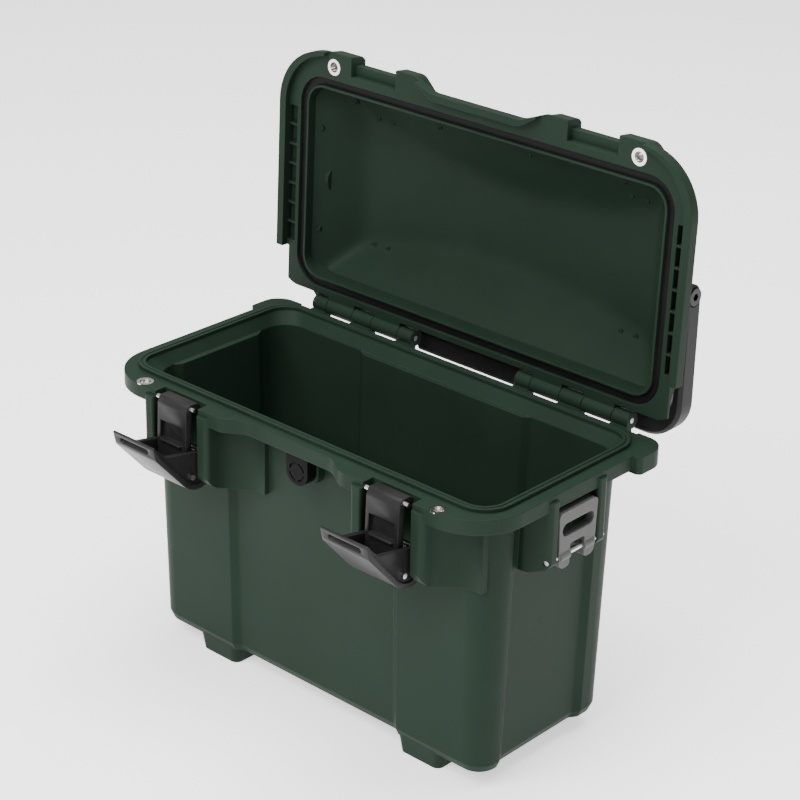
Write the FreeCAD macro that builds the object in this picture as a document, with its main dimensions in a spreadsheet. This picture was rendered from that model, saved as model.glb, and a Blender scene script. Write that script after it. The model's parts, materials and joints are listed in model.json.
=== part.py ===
import FreeCAD, Part
import math
import os
import re
import Sketcher

# Protective hard case with a deep tub, a hinged lid, two lever latches and a bail handle.
# The frame of the sketches: X along the case, Y from the latches to the hinges, Z up from the floor.
# Every piece is drawn with the lid shut, the levers shut and the bail folded back, then posed open.

# Driving sizes in millimetres and degrees: alias, value, meaning
SIZES = (
    ("rim_height", 231.0, "floor to the rim face"),
    ("foot_height", 12.0, "floor to the underside of the tub"),
    ("tub_half_length", 170.5, "middle to the end columns, at the rim"),
    ("tub_front", 70.5, "middle of the seal to the front columns, at the rim"),
    ("tub_back", 76.5, "middle of the seal to the back columns, at the rim"),
    ("tub_draft", 4.5, "lean of each wall from the rim to the bottom"),
    ("tub_corner", 22.0, "plan radius of the tub's corners"),
    ("bottom_round", 8.0, "height of the rounding at the bottom edge"),
    ("bottom_inset", 6.5, "inward run of the rounding at the bottom edge"),
    ("wall", 3.5, "wall of the tub"),
    ("panel_front", 79.0, "half length of the sunk panels, front and back"),
    ("panel_side", 40.0, "half length of the sunk panels at the ends"),
    ("panel_depth", 4.0, "depth of the sunk panels"),
    ("panel_run", 6.0, "run of the sloped step beside a sunk panel"),
    ("panel_round", 4.0, "rounding of that step"),
    ("ledge_drop", 9.0, "depth of the sloped lead-in below the rim"),
    ("seal_half_length", 174.85, "middle to the seal line at the ends"),
    ("seal_half_width", 81.65, "middle to the seal line, front and back"),
    ("seal_round", 20.0, "corner radius of the seal line"),
    ("bead_width", 5.5, "width of the sealing bead"),
    ("bead_height", 3.0, "height of the sealing bead"),
    ("bead_groove", 1.6, "width of the groove along the bead"),
    ("seal_gap", 0.35, "clearance of the gasket over the bead"),
    ("lid_gap", 0.5, "clearance between the shut lid and the rim"),
    ("flange_half_length", 187.0, "middle to the rim flange at the ends"),
    ("flange_front", 101.0, "middle to the flange at the latches"),
    ("flange_waist", 90.0, "middle to the flange between the latches"),
    ("flange_back", 90.0, "middle to the flange at the hinges"),
    ("flange_depth", 11.0, "thickness of the flange"),
    ("flange_corner", 42.0, "plan radius of the flange's front corners"),
    ("flange_back_corner", 20.0, "plan radius of the flange's back corners"),
    ("waist_half", 42.0, "half length of the waist between the latches"),
    ("waist_run", 17.0, "slanted run from the waist to a latch tower"),
    ("waist_round", 16.0, "rounding at the ends of that slant"),
    ("block_reach", 193.5, "middle to the back corner blocks at the ends"),
    ("block_front", 60.0, "middle to the front of a back corner block"),
    ("block_depth", 13.5, "thickness of a back corner block"),
    ("foot_length", 44.0, "length of a foot where it leaves the tub"),
    ("foot_width", 30.0, "width of a foot where it leaves the tub"),
    ("foot_taper", 3.0, "inward run of a foot's sides"),
    ("foot_round", 7.0, "plan radius of a foot"),
    ("latch_x", 104.0, "middle to each latch, hinge and foot"),
    ("latch_gap", 45.0, "width of the pocket in a latch tower"),
    ("cheek", 11.0, "thickness of a tower's cheek"),
    ("tower_front", 103.5, "middle to the front of the latch towers"),
    ("tower_drop", 67.0, "rim to the bottom of the latch towers"),
    ("tower_flare", 22.0, "hollow radius where a cheek meets the wall"),
    ("tower_round", 20.0, "radius of a tower's lower front edge"),
    ("pocket_back", 91.0, "middle to the flange's edge in a latch pocket"),
    ("pin_radius", 2.0, "radius of the latch, hinge and strap pins"),
    ("run_gap", 0.05, "radial running clearance on a pin"),
    ("side_gap", 0.6, "clearance beside a moving piece"),
    ("hinge_y", 98.97, "middle to the hinge axis"),
    ("hinge_rise", 3.39, "rim to the hinge axis"),
    ("knuckle_radius", 6.5, "radius of the hinge knuckles"),
    ("knuckle_middle", 20.0, "length of a tub's middle knuckle"),
    ("knuckle_lid", 27.0, "length of a lid knuckle"),
    ("knuckle_end", 14.0, "length of a tub's end knuckle"),
    ("knuckle_room", 1.0, "clearance round a tub knuckle in the lid"),
    ("lid_open", 91.9, "angle of the open lid"),
    ("skirt_half_length", 196.0, "middle to the lid's skirt at the ends"),
    ("skirt_front", 98.0, "middle to the lid's skirt between the latches"),
    ("skirt_drop", 5.0, "depth of the skirt below the rim"),
    ("skirt_room", 2.5, "clearance between skirt and flange"),
    ("lid_back_half", 187.5, "middle to the lid's end behind the skirt"),
    ("lid_back", 90.0, "middle to the back of the lid"),
    ("shoulder_low", 3.0, "rim to the top of the skirt's upright face"),
    ("shoulder_high", 15.5, "rim to the top of the sloped shoulder"),
    ("shoulder_run", 21.5, "inward run of the sloped shoulder"),
    ("lid_height", 56.0, "rim to the top of the lid"),
    ("slope_low", 32.0, "rim to the foot of the slope round the lid's top"),
    ("slope_run", 21.0, "inward run of that slope"),
    ("crown_radius", 700.0, "radius of the lid's crowned top along the case"),
    ("lid_wall", 4.0, "wall of the lid"),
    ("dome_lean", 3.0, "lean of the lid's upper walls"),
    ("brow_run", 12.0, "inward run of the shoulder at the front"),
    ("lid_corner", 46.0, "plan radius of the lid's front corners"),
    ("brow_front", 106.0, "middle to the front of the lid's latch brows"),
    ("brow_inner", 62.0, "middle to a brow's inner end"),
    ("brow_outer", 152.0, "middle to a brow's outer end"),
    ("brow_high", 16.0, "rim to the top of a brow"),
    ("brow_swoop", 20.0, "run of the slant at a brow's ends"),
    ("ledge_low", 6.0, "rim to the underside of a catch ledge"),
    ("ledge_high", 13.0, "rim to the top of a catch ledge"),
    ("ledge_front", 99.0, "middle to the lip of a catch ledge"),
    ("groove_depth", 6.0, "depth of the gasket groove above the lid's lip"),
    ("gasket_width", 6.6, "width of the gasket"),
    ("lip_wall", 3.5, "wall outside the gasket groove"),
    ("rib", 1.8, "thickness of the ribs in the skirt"),
    ("rib_pitch", 16.0, "spacing of the ribs in the skirt"),
    ("lever_pivot_y", 80.0, "middle to the lever's pin"),
    ("lever_pivot_drop", 47.0, "rim to the lever's pin"),
    ("lever_width", 43.0, "width of a lever"),
    ("lever_wall", 4.0, "side wall of a lever"),
    ("lever_plate", 3.6, "front plate of a lever"),
    ("lever_front", 113.0, "middle to the front of a shut lever"),
    ("lever_tip_rise", 15.0, "rim to the tip of a shut lever"),
    ("lever_bar", 17.0, "height of the bar at a lever's tip"),
    ("lever_heel_drop", 54.0, "rim to the heel of a shut lever"),
    ("lever_slot_length", 31.0, "length of the slot in a lever's bar"),
    ("lever_slot", 7.0, "height of that slot"),
    ("lever_open", 42.0, "swing of a lever from shut to open"),
    ("claw_pin_y", 103.5, "middle to the claw's pin, shut"),
    ("claw_pin_drop", 35.0, "rim to the claw's pin, shut"),
    ("claw_width", 30.0, "width of a claw"),
    ("claw_back", 100.0, "middle to the back of a claw's stem"),
    ("claw_stem", 5.4, "thickness of a claw's stem"),
    ("claw_reach", 7.5, "reach of a claw's tooth over the ledge"),
    ("claw_tooth", 6.0, "height of a claw's tooth"),
    ("claw_clear", 0.4, "clearance of a shut claw over the ledge"),
    ("claw_turn", 44.0, "turn of a claw on its lever from shut to open"),
    ("hook_pin_length", 39.0, "length of the steel pin in a claw's head"),
    ("spring_plate", 1.0, "thickness of a claw's leaf spring"),
    ("strap_half", 21.0, "half width of a strap bracket"),
    ("strap_top_drop", 16.0, "rim to the top of a strap bracket"),
    ("strap_bottom_drop", 59.0, "rim to the bottom of a strap bracket"),
    ("strap_outer", 188.5, "middle to the face of a strap bracket"),
    ("strap_plate", 6.5, "thickness of a strap bracket"),
    ("strap_pin_x", 186.0, "middle to a strap bracket's pin"),
    ("strap_pin_drop", 50.0, "rim to a strap bracket's pin"),
    ("strap_slot", 10.0, "height of the strap slot"),
    ("strap_slot_half", 17.0, "half length of the strap slot"),
    ("strap_notch_half", 8.0, "half width of the notch over the pin"),
    ("strap_cheek", 9.0, "thickness of a strap tower's cheek"),
    ("strap_tower_drop", 60.0, "rim to the bottom of a strap tower"),
    ("bail_pivot_y", 2.0, "middle to the bail's bolts"),
    ("bail_pivot_rise", 25.0, "rim to the bail's bolts"),
    ("bail_inner", 176.0, "middle to the inside of the bail's arms"),
    ("bail_plate", 9.0, "thickness of the bail's arms"),
    ("bail_depth", 17.0, "depth of the bail's section"),
    ("bail_bar_y", 106.0, "middle to the bail's crossbar"),
    ("bail_bar", 16.0, "thickness of the bail's crossbar"),
    ("bail_corner", 30.0, "outer corner radius of the bail"),
    ("bail_edge", 2.5, "bevel of the bail's edges"),
    ("grip_half", 62.0, "half length of the grip on the crossbar"),
    ("grip_skin", 2.0, "thickness of the grip"),
    ("bolt_radius", 3.0, "radius of a bail bolt's shank"),
    ("bolt_head", 6.5, "radius of a bail bolt's head"),
    ("bolt_head_height", 4.0, "height of a bail bolt's head"),
    ("bolt_room", 0.6, "clearance round a bolt's head in the bail"),
    ("bolt_socket", 2.9, "radius across the corners of a bolt's hex socket"),
    ("boss_radius", 11.0, "radius of the lid's boss at a bail bolt"),
    ("boss_inner", 160.0, "middle to the inner end of that boss"),
    ("washer_plate", 1.5, "thickness of the washer under a bail's arm"),
    ("washer_radius", 8.0, "radius of that washer"),
    ("eyelet_x", 144.4, "middle to the padlock eyelets"),
    ("eyelet_y", 94.9, "middle to the padlock eyelets, forward"),
    ("eyelet_hole", 4.0, "radius of an eyelet's hole"),
    ("eyelet_tube", 4.7, "outer radius of an eyelet's tube"),
    ("eyelet_rim", 6.3, "radius of an eyelet's flange"),
    ("eyelet_sheet", 0.7, "thickness of an eyelet's flange"),
    ("valve_drop", 28.0, "rim to the middle of the pressure valve"),
    ("valve_radius", 10.5, "radius of the valve's round end"),
    ("valve_rise", 14.0, "middle of the valve to its square top"),
    ("valve_boss", 7.0, "thickness of the boss under the valve"),
    ("valve_depth", 9.0, "thickness of the valve's body"),
    ("valve_stem", 5.0, "radius of the valve's stem"),
    ("valve_nut", 9.0, "radius across the corners of the valve's nut"),
    ("valve_nut_depth", 4.0, "thickness of the valve's nut"),
    ("valve_seal_wire", 1.2, "thickness of the valve's ring seal"),
)

doc = FreeCAD.newDocument("HardCase")
sheet = doc.addObject("Spreadsheet::Sheet", "Sizes")
for row, (alias, value, meaning) in enumerate(SIZES, start=1):
    sheet.set(f"A{row}", meaning)
    sheet.set(f"B{row}", str(value))
    sheet.setAlias(f"B{row}", alias)
doc.recompute()
ALIASES = {alias for alias, value, meaning in SIZES}
PLANES = {
    "XY": FreeCAD.Rotation(),
    "XZ": FreeCAD.Rotation(FreeCAD.Vector(1, 0, 0), 90),
    "YZ": FreeCAD.Rotation(FreeCAD.Vector(1, 1, 1), 120),
}
NORMAL_AXIS = {"XY": "z", "XZ": "y", "YZ": "x"}
AXIS_TURN = {
    "x": FreeCAD.Rotation(FreeCAD.Vector(0, 1, 0), 90),
    "y": FreeCAD.Rotation(FreeCAD.Vector(1, 0, 0), -90),
    "z": FreeCAD.Rotation(),
}
X_AXIS = FreeCAD.Vector(1, 0, 0)


def formula(text):
    """The sheet's form of a formula that is written with bare aliases."""
    return re.sub(r"[a-z]\w*", lambda word: f"Sizes.{word[0]}" if word[0] in ALIASES else word[0], str(text))


def size(text):
    """The present value of a formula."""
    return float(sheet.evalExpression(formula(text)))


def bind(feature, **properties):
    """Tie properties of a feature to formulas."""
    for name, text in properties.items():
        feature.setExpression(name.replace("__", "."), formula(text))
    return feature


def place(feature, x="0", y="0", z="0"):
    """Tie a feature's position to formulas."""
    return bind(feature, Placement__Base__x=x, Placement__Base__y=y, Placement__Base__z=z)


def sized(kind, geometry, text):
    """A dimension and the formula that drives it."""
    return Sketcher.Constraint(kind, *geometry, size(text)), text


def at_point(geometry, point, x, y):
    """Dimensions that hold a point of the sketch at (x, y)."""
    return [
        sized("DistanceX", (-1, 1, geometry, point), x),
        sized("DistanceY", (-1, 1, geometry, point), y),
    ]


def plain(kind, *geometry):
    """A constraint without a size."""
    return Sketcher.Constraint(kind, *geometry), None


def draw_circle(sketch, x, y, radius):
    centre = FreeCAD.Vector(size(x), size(y), 0)
    circle = sketch.addGeometry(Part.Circle(centre, FreeCAD.Vector(0, 0, 1), size(radius)))
    return at_point(circle, 3, x, y) + [sized("Radius", (circle,), radius)]


def corner_arc(spots, i, radius):
    """Arc in a corner of an outline, the points where it meets the sides, and whether it turns left."""
    corner = spots[i]
    back = (spots[i - 1] - corner).normalize()
    ahead = (spots[(i + 1) % len(spots)] - corner).normalize()
    half = back.getAngle(ahead) / 2
    reach = corner + back * (radius / math.tan(half))
    leave = corner + ahead * (radius / math.tan(half))
    middle = corner + (back + ahead).normalize() * (radius / math.sin(half))
    left_turn = back.cross(ahead).z < 0
    ends = (reach, leave) if left_turn else (leave, reach)
    angles = [math.atan2((end - middle).y, (end - middle).x) for end in ends]
    circle = Part.Circle(middle, FreeCAD.Vector(0, 0, 1), radius)
    return Part.ArcOfCircle(circle, *angles), reach, leave, left_turn


def draw_loop(sketch, corners):
    """Closed outline through corners (x, y), or (x, y, radius) where the corner is rounded."""
    spots = [FreeCAD.Vector(size(corner[0]), size(corner[1]), 0) for corner in corners]
    count = len(corners)
    arcs = {i: corner_arc(spots, i, size(corner[2])) for i, corner in enumerate(corners) if len(corner) > 2}
    reach = [arcs[i][1] if i in arcs else spots[i] for i in range(count)]
    leave = [arcs[i][2] if i in arcs else spots[i] for i in range(count)]
    lines = [
        sketch.addGeometry(Part.LineSegment(leave[i], reach[(i + 1) % count]))
        for i in range(count)
    ]
    rules = []
    for i, corner in enumerate(corners):
        before, after = lines[i - 1], lines[i]
        if i not in arcs:
            rules.append(plain("Coincident", before, 2, after, 1))
            rules += at_point(after, 1, corner[0], corner[1])
            continue
        shape, _, _, left_turn = arcs[i]
        arc = sketch.addGeometry(shape)
        point = sketch.addGeometry(Part.Point(spots[i]), True)
        rules += at_point(point, 1, corner[0], corner[1])
        rules.append(plain("PointOnObject", point, 1, before))
        rules.append(plain("PointOnObject", point, 1, after))
        rules.append(plain("Tangent", before, 2, arc, 1 if left_turn else 2))
        rules.append(plain("Tangent", after, 1, arc, 2 if left_turn else 1))
        rules.append(sized("Radius", (arc,), corner[2]))
    return rules


def draw(name, plane, at, *loops):
    """Sketch on a plane at a distance from the origin; a loop is a list of corners or one circle."""
    sketch = doc.addObject("Sketcher::SketchObject", name + "_sketch")
    sketch.Placement = FreeCAD.Placement(FreeCAD.Vector(), PLANES[plane])
    sketch.setExpression(f"Placement.Base.{NORMAL_AXIS[plane]}", formula(at))
    rules = []
    for loop in loops:
        if isinstance(loop, tuple):
            rules += draw_circle(sketch, *loop)
        else:
            rules += draw_loop(sketch, loop)
    sketch.addConstraint([rule for rule, text in rules])
    for index, (rule, text) in enumerate(rules):
        if text is not None:
            sketch.setExpression(f"Constraints[{index}]", formula(text))
    return sketch


def prism(name, plane, low, high, *loops):
    """Outline on a plane, extruded from low to high along the plane's axis."""
    start, end = (high, low) if plane == "XZ" else (low, high)
    solid = doc.addObject("Part::Extrusion", name)
    solid.Base = draw(name, plane, start, *loops)
    solid.DirMode = "Normal"
    solid.Solid = True
    return bind(solid, LengthFwd=f"abs(({end}) - ({start}))")


def loft(name, *sections):
    """Ruled solid through outlines at heights: each section is (height, corners)."""
    solid = doc.addObject("Part::Loft", name)
    solid.Sections = [draw(f"{name}_{i}", "XY", at, corners) for i, (at, corners) in enumerate(sections)]
    solid.Solid = True
    solid.Ruled = True
    return solid


def block(name, x, y, z):
    """Box between two formulas on each axis."""
    solid = bind(
        doc.addObject("Part::Box", name),
        Length=f"({x[1]}) - ({x[0]})",
        Width=f"({y[1]}) - ({y[0]})",
        Height=f"({z[1]}) - ({z[0]})",
    )
    return place(solid, x[0], y[0], z[0])


def rod(name, axis, radius, low, high, first, second):
    """Cylinder along an axis from low to high, centred at two formulas on the other axes."""
    solid = bind(doc.addObject("Part::Cylinder", name), Radius=radius, Height=f"({high}) - ({low})")
    solid.Placement = FreeCAD.Placement(FreeCAD.Vector(), AXIS_TURN[axis])
    spot = {"x": (low, first, second), "y": (first, low, second), "z": (first, second, low)}[axis]
    return place(solid, *spot)


def turn(name, profile, at):
    """Solid of revolution about an upright axis at (x, y), from a half section of (radius, height)."""
    solid = doc.addObject("Part::Revolution", name)
    solid.Source = draw(name, "XZ", "0", profile)
    solid.Axis = FreeCAD.Vector(0, 0, 1)
    solid.Angle = 360
    solid.Solid = True
    return place(solid, at[0], at[1])


def fuse(name, *solids):
    feature = doc.addObject("Part::MultiFuse", name)
    feature.Shapes = list(solids)
    feature.Refine = True
    return feature


def cut(name, solid, *tools):
    feature = doc.addObject("Part::Cut", name)
    feature.Base = solid
    feature.Tool = tools[0] if len(tools) == 1 else fuse(name + "_tools", *tools)
    feature.Refine = True
    return feature


def common(name, first, second):
    feature = doc.addObject("Part::Common", name)
    feature.Base = first
    feature.Tool = second
    return feature


def mirror(name, solid):
    """The same solid on the other side of the middle plane."""
    feature = doc.addObject("Part::Mirroring", name)
    feature.Source = solid
    feature.Normal = X_AXIS
    return feature


def both(name, solid):
    """A solid and its mirror image, as one compound of two."""
    feature = doc.addObject("Part::Compound", name)
    feature.Links = [solid, mirror(name + "_mirror", solid)]
    return feature


def bevelled(name, solid, width, pick):
    """Chamfer of the edges that pick chooses."""
    doc.recompute()
    feature = doc.addObject("Part::Chamfer", name)
    feature.Base = solid
    value = size(width)
    edges = enumerate(solid.Shape.Edges, start=1)
    feature.Edges = [(index, value, value) for index, edge in edges if pick(edge)]
    return feature


def rect(x0, x1, y0, y1, *radius):
    """Corners of a rectangle, all with one radius or none."""
    return [(x0, y0, *radius), (x1, y0, *radius), (x1, y1, *radius), (x0, y1, *radius)]


def bevelled_rect(x0, x1, y0, y1, bevel):
    """Corners of a rectangle with its corners cut off."""
    return [
        (f"{x0} + {bevel}", y0),
        (f"{x1} - ({bevel})", y0),
        (x1, f"{y0} + {bevel}"),
        (x1, f"{y1} - ({bevel})"),
        (f"{x1} - ({bevel})", y1),
        (f"{x0} + {bevel}", y1),
        (x0, f"{y1} - ({bevel})"),
        (x0, f"{y0} + {bevel}"),
    ]


def oblong(half, front, back, radius):
    """Rounded rectangle about the middle plane."""
    return rect(f"-({half})", half, f"-({front})", back, radius)


def seal_ring(grow):
    """Rounded rectangle that runs a distance outside the seal line."""
    return oblong(
        f"seal_half_length + ({grow})",
        f"seal_half_width + ({grow})",
        f"seal_half_width + ({grow})",
        f"seal_round + ({grow})",
    )


def wall_plan(inset):
    """Plan of the tub's wall, a distance inside the columns' faces at the rim."""
    return oblong(
        f"tub_half_length - ({inset})",
        f"tub_front - ({inset})",
        f"tub_back - ({inset})",
        f"tub_corner - ({inset})",
    )


def wedge(name, low, high, half, front, back):
    """Tapered block from low to high; half, front and back are (at low, at high)."""
    solid = bind(
        doc.addObject("Part::Wedge", name),
        Ymin=low,
        Ymax=high,
        Xmin=f"-({half[0]})",
        Xmax=half[0],
        X2min=f"-({half[1]})",
        X2max=half[1],
        Zmin=f"-({back[0]})",
        Zmax=front[0],
        Z2min=f"-({back[1]})",
        Z2max=front[1],
    )
    solid.Placement = FreeCAD.Placement(FreeCAD.Vector(), FreeCAD.Rotation(X_AXIS, 90))
    return solid


def frustum(name, low, high):
    """Drafted tub form between two levels, each (height, distance inside the columns at the rim)."""
    (z0, inset0), (z1, inset1) = low, high
    half, front, back = "tub_half_length - tub_corner", "tub_front - tub_corner", "tub_back - tub_corner"
    grow = [f"tub_corner - ({inset0})", f"tub_corner - ({inset1})"]
    long_way = wedge(name + "_long", z0, z1, [f"{half} + {out}" for out in grow], [front] * 2, [back] * 2)
    wide_way = wedge(
        name + "_wide",
        z0,
        z1,
        [half] * 2,
        [f"{front} + {out}" for out in grow],
        [f"{back} + {out}" for out in grow],
    )
    corners = []
    for place_name, y in (("front", f"-({front})"), ("back", back)):
        cone = bind(
            doc.addObject("Part::Cone", f"{name}_{place_name}"),
            Radius1=grow[0],
            Radius2=grow[1],
            Height=f"({z1}) - ({z0})",
        )
        corners.append(both(f"{name}_{place_name}_pair", place(cone, half, y, z0)))
    return fuse(name, long_way, wide_way, *corners)


def stack(name, levels):
    """Frustums one on another through all the levels."""
    return fuse(name, *[frustum(f"{name}_{i}", *pair) for i, pair in enumerate(zip(levels, levels[1:]))])


def panel_plan(middle, half, face, outward):
    """Plan of a sunk panel: (middle, half) along the wall, and its face with the sign of outward."""
    near = f"{face} - ({outward})*panel_depth"
    far = f"{face} + ({outward})*panel_depth"
    return [
        (f"{middle} - ({half}) - 2*panel_run", far),
        (f"{middle} - ({half})", near, "panel_round"),
        (f"{middle} + ({half})", near, "panel_round"),
        (f"{middle} + ({half}) + 2*panel_run", far),
    ]


def panels(name, levels):
    """Solids that sink the four panels; levels are (height, distance inside the columns at the rim)."""
    front = [(z, panel_plan("0", "panel_front", f"-(tub_front - ({inset}))", "-1")) for z, inset in levels]
    back = [(z, panel_plan("0", "panel_front", f"tub_back - ({inset})", "1")) for z, inset in levels]
    ends = [(z, panel_plan("0", "panel_side", f"tub_half_length - ({inset})", "1")) for z, inset in levels]
    ends = [(z, [(corner[1], corner[0], *corner[2:]) for corner in plan]) for z, plan in ends]
    return [
        loft(name + "_front", *front),
        loft(name + "_back", *back),
        both(name + "_ends", loft(name + "_end", *ends)),
    ]


def about_x(angle, y, z):
    """Placement that turns a piece about a line along X through (y, z)."""
    return FreeCAD.Placement(FreeCAD.Vector(), FreeCAD.Rotation(X_AXIS, angle), FreeCAD.Vector(0, y, z))


RIM = "rim_height"
UNDER_FLANGE = "rim_height - flange_depth"
HINGE_Z = "rim_height + hinge_rise"
CAVITY_FLOOR = "foot_height + wall"
HINGE_SPANS = {
    "middle": ("latch_x - knuckle_middle/2", "latch_x + knuckle_middle/2"),
    "inner": (
        "latch_x - knuckle_middle/2 - knuckle_lid - 2*side_gap - knuckle_end",
        "latch_x - knuckle_middle/2 - knuckle_lid - 2*side_gap",
    ),
    "outer": (
        "latch_x + knuckle_middle/2 + knuckle_lid + 2*side_gap",
        "latch_x + knuckle_middle/2 + knuckle_lid + 2*side_gap + knuckle_end",
    ),
}
LID_SPANS = {
    "inner": (
        "latch_x - knuckle_middle/2 - side_gap - knuckle_lid",
        "latch_x - knuckle_middle/2 - side_gap",
    ),
    "outer": (
        "latch_x + knuckle_middle/2 + side_gap",
        "latch_x + knuckle_middle/2 + side_gap + knuckle_lid",
    ),
}


def tub_shell():
    """Drafted tub with sunk panels and a rounded bottom edge, before its fittings."""
    lean = "tub_draft"
    levels = [
        ("foot_height", f"{lean} + bottom_inset"),
        ("foot_height + 0.25*bottom_round", f"{lean} + 0.4*bottom_inset"),
        ("foot_height + bottom_round", lean),
        (f"{RIM} - 0.5*flange_depth", "0"),
    ]
    return cut("tub_outer", stack("tub_walls", levels), *panels("sunk_panel", levels))


def tub_cavity():
    """Inside of the tub: a sloped lead-in under the rim, then walls that follow the panels."""
    lead_in = loft(
        "tub_mouth",
        (f"{RIM} - ledge_drop", wall_plan("wall")),
        (RIM, seal_ring("-bead_width/2")),
        (f"{RIM} + bead_height + 1", seal_ring("-bead_width/2")),
    )
    levels = [
        (CAVITY_FLOOR, "tub_draft + wall + bottom_inset"),
        (f"{CAVITY_FLOOR} + bottom_round", "tub_draft + wall"),
        (f"{RIM} - ledge_drop", "wall"),
    ]
    return [lead_in, cut("tub_well", stack("tub_inner_walls", levels), *panels("raised_panel", levels))]


def flange():
    """Rim flange with a waist between the latches, the back corner blocks and the sealing bead."""
    right = [
        ("waist_half", "-flange_waist", "waist_round"),
        ("waist_half + waist_run", "-flange_front", "waist_round"),
        ("flange_half_length", "-flange_front", "flange_corner"),
        ("flange_half_length", "flange_back", "flange_back_corner"),
    ]
    left = [(f"-{corner[0]}" if "+" not in corner[0] else f"-({corner[0]})", *corner[1:]) for corner in reversed(right)]
    plate = prism("flange_plate", "XY", UNDER_FLANGE, RIM, right + left)
    corner_block = prism(
        "corner_block",
        "XY",
        f"{RIM} - block_depth",
        RIM,
        [
            ("block_reach - 26", "block_front"),
            ("block_reach", "block_front", "4"),
            ("block_reach", "flange_back + 2", "16"),
            ("block_reach - 26", "flange_back + 2"),
        ],
    )
    top = f"{RIM} + bead_height"
    bead = prism("bead", "XY", f"{RIM} - 1", top, seal_ring("bead_width/2"))
    groove = prism(
        "bead_groove_ring",
        "XY",
        f"{top} - bead_groove/2",
        f"{top} + 1",
        seal_ring("bead_groove/2"),
        seal_ring("-bead_groove/2"),
    )
    return [plate, both("corner_blocks", corner_block), bead], groove


def latch_tower():
    """Two cheeks that carry a latch, flared into the wall and rounded below."""
    inner = "latch_x - latch_gap/2"
    outer = "latch_x + latch_gap/2"
    root = "-tub_front + tub_draft + wall/2"
    wall_face = "-tub_front"
    plan = [
        (f"{inner} - cheek - tower_flare - 4", root),
        (f"{inner} - cheek - tower_flare - 4", wall_face),
        (f"{inner} - cheek", wall_face, "tower_flare"),
        (f"{inner} - cheek", "-tower_front", "4"),
        (inner, "-tower_front", "2"),
        (inner, root),
    ]
    plan_outer = [(f"2*latch_x - ({corner[0]})", *corner[1:]) for corner in reversed(plan)]
    cheeks = prism("tower_cheeks", "XY", f"{RIM} - tower_drop", f"{RIM} - 0.4*flange_depth", plan, plan_outer)
    side = prism(
        "tower_side",
        "YZ",
        "0",
        "2*latch_x",
        [
            ("-tub_front + tub_draft + wall", f"{RIM} - tower_drop"),
            ("-tub_front + tub_draft + wall", RIM),
            ("-tower_front - 1", RIM),
            ("-tower_front - 1", f"{RIM} - tower_drop + 0.4*tower_round", "tower_round"),
            ("-tub_front - 8", f"{RIM} - tower_drop"),
        ],
    )
    tower = common("latch_tower", cheeks, side)
    pocket = block(
        "latch_pocket",
        (inner, outer),
        ("-tower_front - 5", "-pocket_back"),
        (f"{UNDER_FLANGE} - 1", f"{RIM} + 1"),
    )
    bore = rod(
        "lever_bore",
        "x",
        "pin_radius",
        f"{inner} - cheek - 1",
        f"{outer} + cheek + 1",
        "-lever_pivot_y",
        f"{RIM} - lever_pivot_drop",
    )
    return both("latch_towers", tower), [both("latch_pockets", pocket), both("lever_bores", bore)]


def strap_tower():
    """Two cheeks on an end wall that carry a strap bracket, with stub ribs under the flange."""
    gap = "strap_half + side_gap"
    root = "tub_half_length - tub_draft - wall"
    plan = [
        (root, gap),
        ("strap_outer + 0.5", gap, "2"),
        ("strap_outer + 0.5", f"{gap} + strap_cheek", "4"),
        ("tub_half_length - 1", f"{gap} + strap_cheek + 5"),
        (root, f"{gap} + strap_cheek + 5"),
    ]
    plan_front = [(corner[0], f"-({corner[1]})", *corner[2:]) for corner in reversed(plan)]
    low = f"{RIM} - strap_tower_drop"
    cheeks = prism("strap_cheeks", "XY", low, f"{RIM} - 0.4*flange_depth", plan, plan_front)
    side = prism(
        "strap_side",
        "XZ",
        "-60",
        "60",
        [
            (root, low),
            ("tub_half_length + 4", low),
            ("strap_outer + 1", f"{low} + 6", "8"),
            ("strap_outer + 1", RIM),
            (root, RIM),
        ],
    )
    tower = common("strap_tower", cheeks, side)
    ribs = [
        block(
            f"strap_rib_{i}",
            ("tub_half_length - panel_depth - 2", "strap_outer - strap_plate - 2"),
            (f"{offset} - rib/2", f"{offset} + rib/2"),
            (f"{RIM} - strap_top_drop - 4", f"{UNDER_FLANGE} + 1"),
        )
        for i, offset in enumerate(("-0.6*strap_half", "0", "0.6*strap_half"))
    ]
    bore = rod(
        "strap_bore",
        "y",
        "pin_radius",
        f"-({gap}) - strap_cheek - 6",
        f"{gap} + strap_cheek + 6",
        "strap_pin_x",
        f"{RIM} - strap_pin_drop",
    )
    return both("strap_towers", fuse("strap_tower_ribs", tower, *ribs)), both("strap_bores", bore)


def knuckle(name, span, web_y, web_low, web_high):
    """Hinge knuckle with a web that joins it to the tub or the lid."""
    low, high = span
    web = prism(
        name + "_web",
        "YZ",
        low,
        high,
        [
            (web_y, web_low),
            ("hinge_y", web_low),
            ("hinge_y", web_high),
            (web_y, web_high),
        ],
    )
    barrel = rod(name + "_barrel", "x", "knuckle_radius", low, high, "hinge_y", HINGE_Z)
    return fuse(name, barrel, web)


def hinge_bore(name, radius):
    return rod(
        name,
        "x",
        radius,
        f"{HINGE_SPANS['inner'][0]} - 1",
        f"{HINGE_SPANS['outer'][1]} + 1",
        "hinge_y",
        HINGE_Z,
    )


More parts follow.
